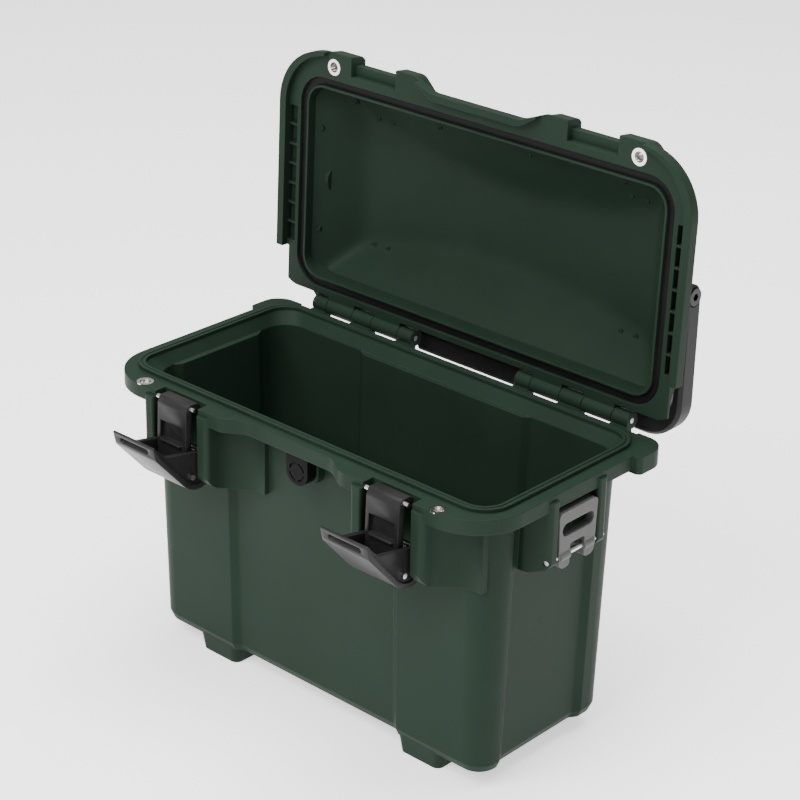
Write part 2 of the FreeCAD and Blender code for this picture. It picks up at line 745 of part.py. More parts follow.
def feet():
    """Four tapered feet under the latches and hinges."""
    solids = []
    for name, side, face in (("front", "-1", "tub_front"), ("back", "1", "tub_back")):
        near = f"{face} - tub_draft - 1 - foot_width"
        far = f"{face} - tub_draft - 1"
        edges = (f"-({far})", f"-({near})") if side == "-1" else (near, far)
        left = "latch_x - foot_length/2"
        right = "latch_x + foot_length/2"
        inset = "foot_taper"
        foot = loft(
            f"foot_{name}",
            ("0", rect(f"{left} + {inset}", f"{right} - {inset}", f"{edges[0]} + {inset}",
                       f"{edges[1]} - {inset}", f"foot_round - {inset}/2")),
            ("foot_height + bottom_round + 1", rect(left, right, *edges, "foot_round")),
        )
        solids.append(both(f"feet_{name}", foot))
    return solids


def valve_seat():
    """Boss on the front panel for the pressure valve, and the hole for its stem."""
    face = "tub_front - panel_depth"
    boss = prism(
        "valve_boss_pad",
        "XZ",
        f"-({face}) - valve_boss",
        f"-({face}) + wall",
        [
            ("valve_radius + 2", f"{RIM} - 0.5*flange_depth"),
            ("valve_radius + 2", f"{RIM} - valve_drop - valve_radius - 2", "valve_radius"),
            ("-valve_radius - 2", f"{RIM} - valve_drop - valve_radius - 2", "valve_radius"),
            ("-valve_radius - 2", f"{RIM} - 0.5*flange_depth"),
        ],
    )
    hole = rod("valve_hole", "y", "valve_stem", f"-({face}) - valve_boss - 1", f"-({face}) + wall + 6",
               "0", f"{RIM} - valve_drop")
    seat = rod("valve_nut_seat", "y", "valve_nut + side_gap", f"-({face}) + wall", f"-({face}) + wall + 6",
               "0", f"{RIM} - valve_drop")
    return boss, [hole, seat]


def base_tub():
    flange_solids, groove = flange()
    towers, tower_cuts = latch_tower()
    straps, strap_bores = strap_tower()
    boss, valve_cuts = valve_seat()
    knuckles = [
        both(
            f"tub_knuckles_{name}",
            knuckle(f"tub_knuckle_{name}", span, "flange_back - 6", UNDER_FLANGE, RIM),
        )
        for name, span in HINGE_SPANS.items()
    ]
    eyelet_hole = rod("tub_eyelet_hole", "z", "eyelet_tube", f"{UNDER_FLANGE} - 1", f"{RIM} + 1", "eyelet_x", "-eyelet_y")
    eyelet_seat = rod("tub_eyelet_seat", "z", "eyelet_rim", f"{RIM} - eyelet_sheet", f"{RIM} + 1", "eyelet_x", "-eyelet_y")
    outer = fuse("tub_solid", tub_shell(), *flange_solids, towers, straps, boss, *feet(), *knuckles)
    return cut(
        "base_tub",
        outer,
        *tub_cavity(),
        groove,
        *tower_cuts,
        strap_bores,
        *valve_cuts,
        both("tub_hinge_bores", hinge_bore("tub_hinge_bore", "pin_radius")),
        both("tub_eyelet_holes", fuse("tub_eyelet_cut", eyelet_hole, eyelet_seat)),
    )


def lid_outer():
    """Skirt, sloped shoulder, domed top and latch brows of the lid, as one solid block."""
    half = "skirt_half_length"
    front = "skirt_front"
    waist = [
        ("brow_inner - brow_swoop", f"-{front}", "waist_round"),
        ("brow_inner", "-brow_front", "waist_round"),
        (half, "-brow_front", "lid_corner"),
        (half, "lid_back", "flange_back_corner"),
    ]
    mirrored = [(f"-({corner[0]})", *corner[1:]) for corner in reversed(waist)]
    skirt = prism("skirt", "XY", f"{RIM} - skirt_drop", f"{RIM} + shoulder_low", waist + mirrored)
    shoulder = f"{half} - shoulder_run"
    dome = loft(
        "dome_slopes",
        (f"{RIM} + shoulder_low", oblong(half, front, "lid_back", "lid_corner - 6")),
        (f"{RIM} + shoulder_high", oblong(shoulder, f"{front} - brow_run", "lid_back - 2", "lid_corner - 14")),
        dome_section("slope_low", "0", "lid_corner - 16"),
        dome_section("lid_height + 4", "slope_run", "lid_corner - 26"),
    )
    dome = common("dome", dome, crown("dome_crown", "lid_height"))
    brow = loft(
        "brow",
        (f"{RIM} + shoulder_low", brow_plan("0")),
        (f"{RIM} + brow_high - 3", brow_plan("1")),
        (f"{RIM} + brow_high", brow_plan("4")),
    )
    return fuse("lid_block", skirt, dome, both("brows", brow))


def dome_section(rise, inset, corner):
    """Height and plan of the lid's upper wall, a distance inside its face."""
    half = f"skirt_half_length - shoulder_run - dome_lean - ({inset})"
    front = f"skirt_front - brow_run - dome_lean - ({inset})"
    back = f"lid_back - 2 - dome_lean - ({inset})"
    return f"{RIM} + {rise}", oblong(half, front, back, corner)


def lid_lining(rise, inset, corner):
    """Height and plan of the lid's lining, a distance inside the upper wall and clear of the seal."""
    half = f"skirt_half_length - shoulder_run - dome_lean - ({inset})"
    deep = f"skirt_front - brow_run - dome_lean - ({inset}) - 2"
    return f"{RIM} + {rise}", oblong(half, deep, deep, corner)


def crown(name, top):
    """Long barrel that gives the lid's top its slight curve along the case."""
    return rod(name, "y", "crown_radius", "-2*brow_front", "2*brow_front", "0", f"{RIM} + {top} - crown_radius")


def brow_plan(inset):
    """Plan of a latch brow, a distance inside its foot."""
    return [
        (f"brow_inner - brow_swoop + {inset}", "-skirt_front + 12"),
        (f"brow_inner + {inset}", f"-brow_front + {inset}", "10"),
        (f"brow_outer - {inset}", f"-brow_front + {inset}", "10"),
        (f"brow_outer + brow_swoop - {inset}", "-skirt_front + 12"),
    ]


def lid_cuts():
    """What is taken out of the lid: its inside, the room for the rim, the catches and the hinges."""
    lip = f"{RIM} + lid_gap"
    room = "flange_half_length + skirt_room"
    lining = "-gasket_width/2 - lip_wall/2"
    slopes = loft(
        "lid_inside_slopes",
        (f"{RIM} - skirt_drop - 1", seal_ring(lining)),
        (f"{RIM} + groove_depth + 3", seal_ring(lining)),
        lid_lining("slope_low - 0.4*lid_wall", "lid_wall", "seal_round"),
        lid_lining("lid_height + 4", "lid_wall + slope_run + 3", "seal_round"),
    )
    inside = common("lid_inside", slopes, crown("lid_inside_crown", "lid_height - lid_wall"))
    right = [
        ("waist_half", "-flange_waist - skirt_room", "waist_round"),
        ("waist_half + waist_run", "-flange_front - skirt_room", "waist_round"),
        (room, "-flange_front - skirt_room", "flange_corner + skirt_room"),
        (room, "hinge_y + 20"),
    ]
    left = [(f"-({corner[0]})", *corner[1:]) for corner in reversed(right)]
    rim_room = prism("rim_room", "XY", f"{RIM} - skirt_drop - 1", lip, right + left)
    groove = prism(
        "gasket_groove",
        "XY",
        f"{RIM} - skirt_drop - 1",
        f"{lip} + groove_depth",
        seal_ring("gasket_width/2"),
        seal_ring("-gasket_width/2"),
    )
    tower_room = block(
        "tower_room",
        ("waist_half + waist_run - 2", "brow_outer - 2"),
        ("-brow_front - 20", "-flange_waist"),
        (f"{RIM} - skirt_drop - 1", lip),
    )
    back_room = block(
        "back_room",
        ("lid_back_half", "skirt_half_length + 20"),
        ("block_front - 1", "hinge_y + 20"),
        (f"{RIM} - skirt_drop - 1", f"{RIM} + shoulder_high"),
    )
    notch_x = ("latch_x - latch_gap/2", "latch_x + latch_gap/2")
    below = block("catch_below", notch_x, ("-brow_front - 20", "-pocket_back"), (f"{RIM} - skirt_drop - 1", f"{RIM} + ledge_low"))
    ahead = block("catch_ahead", notch_x, ("-brow_front - 20", "-ledge_front"), (f"{RIM} + ledge_low - 1", f"{RIM} + ledge_high + 1"))
    above = block("catch_above", notch_x, ("-brow_front - 20", "-pocket_back + 0.5"), (f"{RIM} + ledge_high", f"{RIM} + lid_height"))
    clear = [
        rod(f"knuckle_room_{name}", "x", "knuckle_radius + knuckle_room", f"{low} - side_gap", f"{high} + side_gap",
            "hinge_y", HINGE_Z)
        for name, (low, high) in HINGE_SPANS.items()
    ]
    eyelet_hole = rod("lid_eyelet_hole", "z", "eyelet_tube", f"{RIM} - skirt_drop - 2", f"{RIM} + brow_high + 2",
                      "eyelet_x", "-eyelet_y")
    bolt_hole = rod("bolt_hole", "x", "bolt_radius", "boss_inner - 2", "bail_inner + bail_plate", "bail_pivot_y",
                    f"{RIM} + bail_pivot_rise")
    eyelet_seat = rod("lid_eyelet_seat", "z", "eyelet_rim", f"{RIM} - 1", f"{lip} + eyelet_sheet", "eyelet_x", "-eyelet_y")
    single = (tower_room, back_room, below, ahead, above, *clear, eyelet_hole, eyelet_seat, bolt_hole)
    return [inside, rim_room, groove] + [both(f"{tool.Name}_pair", tool) for tool in single]


def skirt_pocket():
    """Hollow between the gasket wall and the skirt at one end, crossed by ribs."""
    inner = "seal_half_length + gasket_width/2 + lip_wall"
    outer = "flange_half_length + skirt_room"
    lip = f"{RIM} + lid_gap"
    low = "-block_front + 4"
    high = "block_front - 5"
    bays = int((size(high) - size(low) + size("rib")) / size("rib_pitch"))
    return [
        prism(
            f"skirt_bay_{i}",
            "XZ",
            f"{low} + {i}*rib_pitch",
            f"{low} + {i + 1}*rib_pitch - rib",
            [
                (inner, f"{lip} - 1"),
                (outer, f"{lip} - 1"),
                (outer, f"{lip} + 4"),
                (inner, f"{lip} + 9"),
            ],
        )
        for i in range(bays)
    ]


def lid_shell():
    boss = rod("bolt_boss", "x", "boss_radius", "boss_inner", "bail_inner - washer_plate", "bail_pivot_y",
               f"{RIM} + bail_pivot_rise")
    knuckles = [
        both(
            f"lid_knuckles_{name}",
            knuckle(f"lid_knuckle_{name}", span, "lid_back - 4", f"{RIM} + lid_gap", f"{HINGE_Z} + knuckle_radius"),
        )
        for name, span in LID_SPANS.items()
    ]
    pockets = fuse("skirt_pockets", *skirt_pocket())
    hollow = cut("lid_hollow", lid_outer(), *lid_cuts(), both("skirt_pocket_pair", pockets))
    bored_boss = cut("bored_boss", boss, rod("boss_bore", "x", "bolt_radius", "boss_inner - 2", "bail_inner",
                                             "bail_pivot_y", f"{RIM} + bail_pivot_rise"))
    whole = fuse("lid_whole", hollow, both("bored_bosses", bored_boss), *knuckles)
    return cut("lid_shell", whole, both("lid_hinge_bores", hinge_bore("lid_hinge_bore", "pin_radius + run_gap")))


def lid_gasket():
    return prism(
        "lid_gasket",
        "XY",
        f"{RIM} + bead_height + seal_gap",
        f"{RIM} + lid_gap + groove_depth",
        seal_ring("gasket_width/2"),
        seal_ring("-gasket_width/2"),
    )


def hinge_pin():
    return rod(
        "hinge_pin_right",
        "x",
        "pin_radius",
        HINGE_SPANS["inner"][0],
        HINGE_SPANS["outer"][1],
        "hinge_y",
        HINGE_Z,
    )


def latch_lever():
    """Channel lever: front plate, two side walls with the pin eyes, and a slotted bar at the tip."""
    left = "latch_x - lever_width/2"
    right = "latch_x + lever_width/2"
    heel = f"{RIM} - lever_heel_drop"
    tip = f"{RIM} + lever_tip_rise"
    pivot_z = f"{RIM} - lever_pivot_drop"
    side = prism(
        "lever_side",
        "YZ",
        left,
        right,
        [
            ("-lever_pivot_y + 6", f"{pivot_z} - 6", "5.5"),
            ("-lever_pivot_y + 6", f"{pivot_z} + 6", "5.5"),
            ("-claw_pin_y + 8", "rim_height - claw_pin_drop + 4", "8"),
            ("-lever_front + 8", f"{tip} - lever_bar - 6", "6"),
            ("-lever_front + 7", f"{tip} - lever_bar", "2"),
            ("-lever_front + 6.5", tip, "2.5"),
            ("-lever_front + 1", tip, "2.5"),
            ("-lever_front", f"{tip} - lever_bar - 8", "40"),
            ("-lever_front", heel, "18"),
        ],
    )
    trough = block(
        "lever_trough",
        (f"{left} + lever_wall", f"{right} - lever_wall"),
        ("-lever_front + lever_plate", "-lever_pivot_y + 20"),
        (f"{heel} + lever_plate + 5", f"{tip} - lever_bar"),
    )
    heel_room = block(
        "lever_heel_room",
        (f"{left} + lever_wall", f"{right} - lever_wall"),
        ("-lever_pivot_y - 13", "-lever_pivot_y + 20"),
        (f"{heel} - 1", f"{heel} + lever_plate + 6"),
    )
    middle = f"{tip} - lever_bar/2"
    slot = prism(
        "lever_slot_cut",
        "XZ",
        "-lever_front - 5",
        "-lever_front + 20",
        rect("latch_x - lever_slot_length/2", "latch_x + lever_slot_length/2", f"{middle} - lever_slot/2",
             f"{middle} + lever_slot/2", "0.45*lever_slot"),
    )
    pin_eye = rod("lever_pin_eye", "x", "pin_radius + run_gap", f"{left} - 1", f"{right} + 1", "-lever_pivot_y", pivot_z)
    claw_eye = rod("claw_pin_eye", "x", "pin_radius", f"{left} - 1", f"{right} + 1", "-claw_pin_y",
                   "rim_height - claw_pin_drop")
    return cut("latch_lever_right", side, trough, heel_room, slot, pin_eye, claw_eye)


def latch_claw():
    """Curved claw that stands on its pin in the lever and hooks over the lid's ledge."""
    left = "latch_x - claw_width/2"
    right = "latch_x + claw_width/2"
    foot = "rim_height - claw_pin_drop"
    tooth = f"{RIM} + ledge_high + claw_clear"
    body = prism(
        "claw_body",
        "YZ",
        left,
        right,
        [
            ("-claw_back - claw_stem", f"{tooth} + claw_tooth", "6"),
            ("-claw_back - claw_stem", f"{foot} + 9", "6"),
            ("-claw_pin_y - 4.5", f"{foot} + 1", "3"),
            ("-claw_pin_y - 2.5", f"{foot} - 4.5", "2.5"),
            ("-claw_pin_y + 4.5", f"{foot} - 4.5", "3"),
            ("-claw_back", f"{foot} + 10", "12"),
            ("-claw_back", tooth, "1.2"),
            ("-claw_back + claw_reach", tooth, "1"),
            ("-claw_back + claw_reach", f"{tooth} + 0.5*claw_tooth", "2"),
            ("-claw_back + 0.4*claw_reach", f"{tooth} + claw_tooth", "4"),
        ],
    )
    window = block(
        "claw_window",
        (f"{left} + 6", f"{right} - 6"),
        ("-claw_back - claw_stem - 8", "-claw_back + 1"),
        (f"{foot} + 12", f"{foot} + 24"),
    )
    eye = rod("claw_eye", "x", "pin_radius + run_gap", f"{left} - 1", f"{right} + 1", "-claw_pin_y", foot)
    head = rod("hook_pin_bore", "x", "0.8*pin_radius", f"{left} - 1", f"{right} + 1", "-claw_back - 0.2*claw_stem",
               f"{tooth} + 0.5*claw_tooth")
    return cut("latch_claw_right", body, window, eye, head)


def latch_pins():
    """Steel pins of one latch: the lever's, the claw's, and the short one in the claw's head."""
    half = "latch_gap/2 + cheek"
    tooth = f"{RIM} + ledge_high + claw_clear"
    lever_pin = rod("lever_pin_right", "x", "pin_radius", f"latch_x - ({half})", f"latch_x + {half}",
                    "-lever_pivot_y", f"{RIM} - lever_pivot_drop")
    claw_pin = rod("claw_pin_right", "x", "pin_radius", "latch_x - lever_width/2", "latch_x + lever_width/2",
                   "-claw_pin_y", f"{RIM} - claw_pin_drop")
    hook_pin = rod("hook_pin_right", "x", "0.8*pin_radius", "latch_x - hook_pin_length/2",
                   "latch_x + hook_pin_length/2", "-claw_back - 0.2*claw_stem", f"{tooth} + 0.5*claw_tooth")
    return lever_pin, claw_pin, hook_pin


def claw_spring():
    """Bent leaf spring that lies on the back of a claw, below its window."""
    foot = "rim_height - claw_pin_drop"
    return prism(
        "claw_spring_right",
        "YZ",
        "latch_x - claw_width/4",
        "latch_x + claw_width/4",
        [
            ("-claw_back", f"{foot} + 26"),
            ("-claw_back", f"{foot} + 34"),
            ("-claw_back + spring_plate", f"{foot} + 34"),
            ("-claw_back + spring_plate", f"{foot} + 26", "1.5"),
            ("-claw_back + 7", f"{foot} + 18"),
            ("-claw_back + 7 - spring_plate", f"{foot} + 17.4"),
        ],
    )


def strap_bracket():
    """Slotted strap bracket with a notch over its pin."""
    top = f"{RIM} - strap_top_drop"
    low = f"{RIM} - strap_bottom_drop"
    pin_z = f"{RIM} - strap_pin_drop"
    slot_z = f"{top} - 1.4*strap_slot"
    plate = prism(
        "strap_plate_blank",
        "YZ",
        "strap_outer - strap_plate",
        "strap_outer",
        [
            ("-strap_half", top, "4"),
            ("-strap_half + 2", low, "5"),
            ("-strap_notch_half", low, "3"),
            ("-strap_notch_half", f"{pin_z} + 8", "2"),
            ("strap_notch_half", f"{pin_z} + 8", "2"),
            ("strap_notch_half", low, "3"),
            ("strap_half - 2", low, "5"),
            ("strap_half", top, "4"),
        ],
        rect("-strap_slot_half", "strap_slot_half", f"{slot_z} - strap_slot/2", f"{slot_z} + strap_slot/2",
             "0.45*strap_slot"),
    )
    bore = rod("strap_eye", "y", "pin_radius + run_gap", "-strap_half - 1", "strap_half + 1", "strap_pin_x", pin_z)
    barrel = rod("strap_barrel", "y", "pin_radius + 2", "-strap_half + 3", "strap_half - 3", "strap_pin_x", pin_z)
    gap = block("strap_barrel_gap", ("strap_outer - 20", "strap_outer + 20"),
                ("-strap_notch_half", "strap_notch_half"), (f"{pin_z} - 9", f"{pin_z} + 6"))
    return cut("strap_bracket_right", fuse("strap_bracket_blank", plate, cut("strap_barrels", barrel, gap)), bore)


def strap_pin():
    half = "strap_half + side_gap + strap_cheek"
    return rod("strap_pin_right", "y", "pin_radius", f"-({half})", half, "strap_pin_x", f"{RIM} - strap_pin_drop")


def handle_bail():
    """U-shaped bail with rounded corners and eyes on the lid's bolts."""
    outer = "bail_inner + bail_plate"
    far = "bail_bar_y + bail_bar/2"
    near = "bail_bar_y - bail_bar/2"
    tip = "bail_pivot_y - bail_depth/2"
    plan = [
        (outer, tip),
        (outer, far, "bail_corner"),
        (f"-({outer})", far, "bail_corner"),
        (f"-({outer})", tip),
        ("-bail_inner", tip),
        ("-bail_inner", near, "bail_corner - bail_plate"),
        ("bail_inner", near, "bail_corner - bail_plate"),
        ("bail_inner", tip),
    ]
    middle = f"{RIM} + bail_pivot_rise"
    bow = prism("bail_bow", "XY", f"{middle} - bail_depth/2", f"{middle} + bail_depth/2", plan)
    trim = prism(
        "bail_trim",
        "YZ",
        f"-({outer}) - 1",
        f"{outer} + 1",
        [
            (tip, f"{middle} - bail_depth/2", "0.48*bail_depth"),
            (f"{far} + 1", f"{middle} - bail_depth/2"),
            (f"{far} + 1", f"{middle} + bail_depth/2"),
            (tip, f"{middle} + bail_depth/2", "0.48*bail_depth"),
        ],
    )
    eyes = rod("bail_eyes", "x", "bolt_radius + run_gap", f"-({outer}) - 1", f"{outer} + 1", "bail_pivot_y", middle)
    seat = rod("bail_seat", "x", "bolt_head + bolt_room", f"{outer} - bolt_head_height", f"{outer} + 1", "bail_pivot_y", middle)
    level = size(middle)
    soft = bevelled("bail_soft", common("bail_shape", bow, trim), "bail_edge", lambda edge: is_bail_edge(edge, level))
    return cut("handle_bail", soft, eyes, both("bail_seats", seat))


def is_bail_edge(edge, level):
    """Edges along the bail's arms, corners and crossbar, above and below the level of its bolts."""
    box = edge.BoundBox
    flat = box.ZLength < 0.01 and abs(box.ZMin - level) > 1
    return flat and (box.XLength > 1.2 * size("bail_plate") or box.YLength > size("bail_depth"))


def handle_grip():
    """Ribbed grip sleeve round the middle of the bail's crossbar."""
    middle = f"{RIM} + bail_pivot_rise"
    far = "bail_bar_y + bail_bar/2"
    near = "bail_bar_y - bail_bar/2"
    skin = "grip_skin"
    inside_low = f"{middle} - bail_depth/2"
    inside_high = f"{middle} + bail_depth/2"
    return prism(
        "handle_grip",
        "YZ",
        "-grip_half",
        "grip_half",
        rect(f"{near} - {skin}", f"{far} + {skin}", f"{inside_low} - {skin}", f"{inside_high} + {skin}",
             "bail_edge + grip_skin"),
        bevelled_rect(near, far, inside_low, inside_high, "bail_edge"),
    )


def handle_bolt():
    """Socket-head bolt that carries one arm of the bail."""
    seat = "bail_inner + bail_plate - bolt_head_height + side_gap/2"
    middle = f"{RIM} + bail_pivot_rise"
    shank = rod("bolt_shank", "x", "bolt_radius", "boss_inner", seat, "bail_pivot_y", middle)
    head = rod("bolt_head_blank", "x", "bolt_head", seat, f"{seat} + bolt_head_height", "bail_pivot_y", middle)
    socket = bind(doc.addObject("Part::Prism", "bolt_socket_cut"), Circumradius="bolt_socket", Height="bolt_head_height")
    socket.Polygon = 6
    socket.Placement = FreeCAD.Placement(FreeCAD.Vector(), AXIS_TURN["x"])
    place(socket, f"{seat} + 0.4*bolt_head_height", "bail_pivot_y", middle)
    return cut("handle_bolt_right", fuse("bolt_blank", shank, head), socket)


def handle_washer():
    middle = f"{RIM} + bail_pivot_rise"
    low = "bail_inner - washer_plate"
    high = "bail_inner - side_gap/2"
    plate = rod("washer_blank", "x", "washer_radius", low, high, "bail_pivot_y", middle)
    hole = rod("washer_hole", "x", "bolt_radius", f"{low} - 1", f"{high} + 1", "bail_pivot_y", middle)
    return cut("handle_washer_right", plate, hole)


def eyelet(name, face, depth, upward):
    """Rolled padlock eyelet: a tube with a flange on the face that meets the other half."""
    sign = "" if upward else "-"
    profile = [
        ("eyelet_hole", f"{face}"),
        ("eyelet_rim", f"{face}"),
        ("eyelet_rim", f"{face} + ({sign}eyelet_sheet)"),
        ("eyelet_tube", f"{face} + ({sign}eyelet_sheet)"),
        ("eyelet_tube", f"{face} + ({sign}({depth}))"),
        ("eyelet_hole", f"{face} + ({sign}({depth}))"),
    ]
    if not upward:
        profile.reverse()
    return turn(name, profile, ("eyelet_x", "-eyelet_y"))


def valve_pieces():
    """Pressure valve: a vented body on the boss, a ring seal behind it, and a nut inside the tub."""
    face = "-(tub_front - panel_depth) - valve_boss"
    front = f"{face} - valve_depth"
    middle = f"{RIM} - valve_drop"
    inside = "-(tub_front - panel_depth) + wall"
    plate = prism(
        "valve_plate",
        "XZ",
        front,
        face,
        [
            ("valve_radius", f"{middle} + valve_rise", "2"),
            ("-valve_radius", f"{middle} + valve_rise", "2"),
            ("-valve_radius", f"{middle} - valve_radius", "0.95*valve_radius"),
            ("valve_radius", f"{middle} - valve_radius", "0.95*valve_radius"),
        ],
    )
    stem = rod("valve_stem_rod", "y", "valve_stem - run_gap", face, f"{inside} + valve_nut_depth + 2", "0", middle)
    bore = rod("valve_bore", "y", "0.4*valve_stem", f"{face} - 2", f"{inside} + valve_nut_depth + 3", "0", middle)
    ring = prism("valve_ring", "XZ", f"{front} - 1", f"{front} + 1.2", ("0", middle, "0.72*valve_radius"),
                 ("0", middle, "0.58*valve_radius"))
    bridges = [
        prism(f"valve_bridge_{i}", "XZ", f"{front} - 2", f"{front} + 2", corners)
        for i, corners in enumerate((
            rect("-valve_radius", "valve_radius", f"{middle} - 1.2", f"{middle} + 1.2"),
            rect("-1.2", "1.2", f"{middle} - valve_radius", f"{middle} + valve_radius"),
        ))
    ]
    vents = cut("valve_vents", ring, *bridges)
    seat = ring_seal("valve_seal_seat", face, middle)
    body = cut("valve_body", fuse("valve_blank", plate, stem), bore, vents, seat)
    seal = ring_seal("valve_seal", face, middle)
    nut = bind(doc.addObject("Part::Prism", "valve_nut_blank"), Circumradius="valve_nut", Height="valve_nut_depth")
    nut.Polygon = 6
    nut.Placement = FreeCAD.Placement(FreeCAD.Vector(), AXIS_TURN["y"])
    place(nut, "0", inside, middle)
    nut_hole = rod("valve_nut_hole", "y", "valve_stem - run_gap", f"{inside} - 1", f"{inside} + valve_nut_depth + 1", "0", middle)
    return body, seal, cut("valve_nut", nut, nut_hole)


def ring_seal(name, face, middle):
    """Flat ring seal that lies in the back of the valve and touches the boss."""
    inner = ("0", middle, "0.6*valve_radius")
    outer = ("0", middle, "0.6*valve_radius + 2*valve_seal_wire")
    return prism(name, "XZ", f"{face} - valve_seal_wire", face, outer, inner)


def build():
    """All pieces by node name, each with the body that carries it."""
    lever_pin, claw_pin, hook_pin = latch_pins()
    valve_body, valve_seal, valve_nut = valve_pieces()
    lid_face = f"{RIM} + lid_gap"
    nodes = {
        "base_tub": (base_tub(), "tub"),
        "lid_shell": (lid_shell(), "lid"),
        "lid_gasket": (lid_gasket(), "lid"),
        "valve_body": (valve_body, "tub"),
        "valve_seal": (valve_seal, "tub"),
        "valve_nut": (valve_nut, "tub"),
        "handle_bail": (handle_bail(), "bail"),
        "handle_grip": (handle_grip(), "bail"),
        "tub_eyelets": (both("tub_eyelets", eyelet("tub_eyelet", RIM, "flange_depth", False)), "tub"),
        "lid_eyelets": (both("lid_eyelets", eyelet("lid_eyelet", lid_face, "brow_high - 4", True)), "lid"),
    }
    paired = {
        "hinge_pin": (hinge_pin(), "tub"),
        "latch_lever": (latch_lever(), "lever"),
        "latch_claw": (latch_claw(), "claw"),
        "lever_pin": (lever_pin, "tub"),
        "claw_pin": (claw_pin, "lever"),
        "hook_pin": (hook_pin, "claw"),
        "claw_spring": (claw_spring(), "claw"),
        "strap_bracket": (strap_bracket(), "bracket"),
        "strap_pin": (strap_pin(), "tub"),
        "handle_bolt": (handle_bolt(), "lid"),
        "handle_washer": (handle_washer(), "lid"),
    }
    for name, (solid, carrier) in paired.items():
        nodes[f"{name}_right"] = (solid, carrier)
        nodes[f"{name}_left"] = (mirror(f"{name}_left", solid), carrier)
    return nodes


def rest_poses():
    """Placements that take each body from the shut case to the open one."""
    hinge = (size("hinge_y"), size(HINGE_Z))
    lid = about_x(-size("lid_open"), *hinge)
    bail = about_x(size("lid_open") - 90, size("bail_pivot_y"), size(f"{RIM} + bail_pivot_rise"))
    lever = about_x(size("lever_open"), -size("lever_pivot_y"), size(f"{RIM} - lever_pivot_drop"))
    claw = about_x(-size("claw_turn"), -size("claw_pin_y"), size(f"{RIM} - claw_pin_drop"))
    return {
        "tub": FreeCAD.Placement(),
        "bracket": FreeCAD.Placement(),
        "lid": lid,
        "bail": lid.multiply(bail),
        "lever": lever,
        "claw": lever.multiply(claw),
    }


def check(nodes):
    """Stop if a feature failed or a piece is not a sound solid."""
    for feature in doc.Objects:
        if {"Invalid", "Error"} & set(feature.State):
            raise RuntimeError(f"{feature.Label} failed: {feature.State}")
    for name, (feature, carrier) in nodes.items():
        shape = feature.Shape
        if shape.isNull() or not shape.isValid() or not shape.Solids:
            raise RuntimeError(f"{name} has no sound solid")


nodes = build()
doc.recompute()
check(nodes)
poses = rest_poses()
for name, (feature, carrier) in nodes.items():
    feature.Label = name
    feature.Placement = poses[carrier].multiply(feature.Placement)
whole = FreeCAD.BoundBox()
for feature, carrier in nodes.values():
    whole.add(feature.Shape.optimalBoundingBox(False))
centring = FreeCAD.Placement(FreeCAD.Vector(0, -whole.Center.y, 0), FreeCAD.Rotation())
os.makedirs("parts", exist_ok=True)
for name, (feature, carrier) in nodes.items():
    feature.Placement = centring.multiply(feature.Placement)
    feature.Shape.exportStep(f"parts/{name}.step")
print(f"{len(nodes)} nodes, origin {whole.Center.y:.3f} mm behind the middle of the seal")
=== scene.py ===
import json
from math import copysign, pi, radians, sqrt, tan

import bmesh
import bpy
from mathutils import Euler, Matrix, Vector


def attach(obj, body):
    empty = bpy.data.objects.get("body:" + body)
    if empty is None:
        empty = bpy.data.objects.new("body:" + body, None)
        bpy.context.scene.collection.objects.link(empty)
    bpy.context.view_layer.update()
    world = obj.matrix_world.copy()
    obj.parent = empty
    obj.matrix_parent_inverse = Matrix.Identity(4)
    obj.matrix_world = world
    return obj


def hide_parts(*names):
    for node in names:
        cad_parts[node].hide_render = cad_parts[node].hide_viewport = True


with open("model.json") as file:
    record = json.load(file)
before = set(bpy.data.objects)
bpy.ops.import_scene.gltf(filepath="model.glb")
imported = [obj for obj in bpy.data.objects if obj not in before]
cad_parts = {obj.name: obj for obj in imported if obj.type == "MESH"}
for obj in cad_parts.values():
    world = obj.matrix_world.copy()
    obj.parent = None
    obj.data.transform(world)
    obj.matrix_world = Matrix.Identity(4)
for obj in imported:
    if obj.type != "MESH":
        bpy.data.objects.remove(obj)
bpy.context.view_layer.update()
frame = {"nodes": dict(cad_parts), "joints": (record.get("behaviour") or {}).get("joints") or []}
nodes = frame["nodes"]
bpy.ops.object.select_all(action="DESELECT")
print("frame loaded,", len(nodes), "nodes")


# Camera at the photograph's angle, for a square picture

cameraShot = {
    "eye": (1.0371, -1.1351, 0.9432),   # metres
    "azimuth": 41.953,                  # degrees round from the front
    "elevation": 24.881,
    "roll": 1.291,
    "lens": 104.91,                     # on a 36 mm sensor
    "sensor": 36.0,
}


def setCamera(shot):
    bpy.ops.object.camera_add(location=shot["eye"])
    camera = bpy.context.object
    camera.name = "photoCamera"
    turn = Euler((pi / 2 - radians(shot["elevation"]), 0, radians(shot["azimuth"]))).to_matrix()
    turn = turn @ Matrix.Rotation(radians(shot["roll"]), 3, "Z")
    camera.rotation_euler = turn.to_euler()
    camera.data.lens = shot["lens"]
    camera.data.sensor_width = shot["sensor"]
    bpy.context.scene.camera = camera


setCamera(cameraShot)
print("camera set")


# Studio: pale floor, white surround and three soft lamps

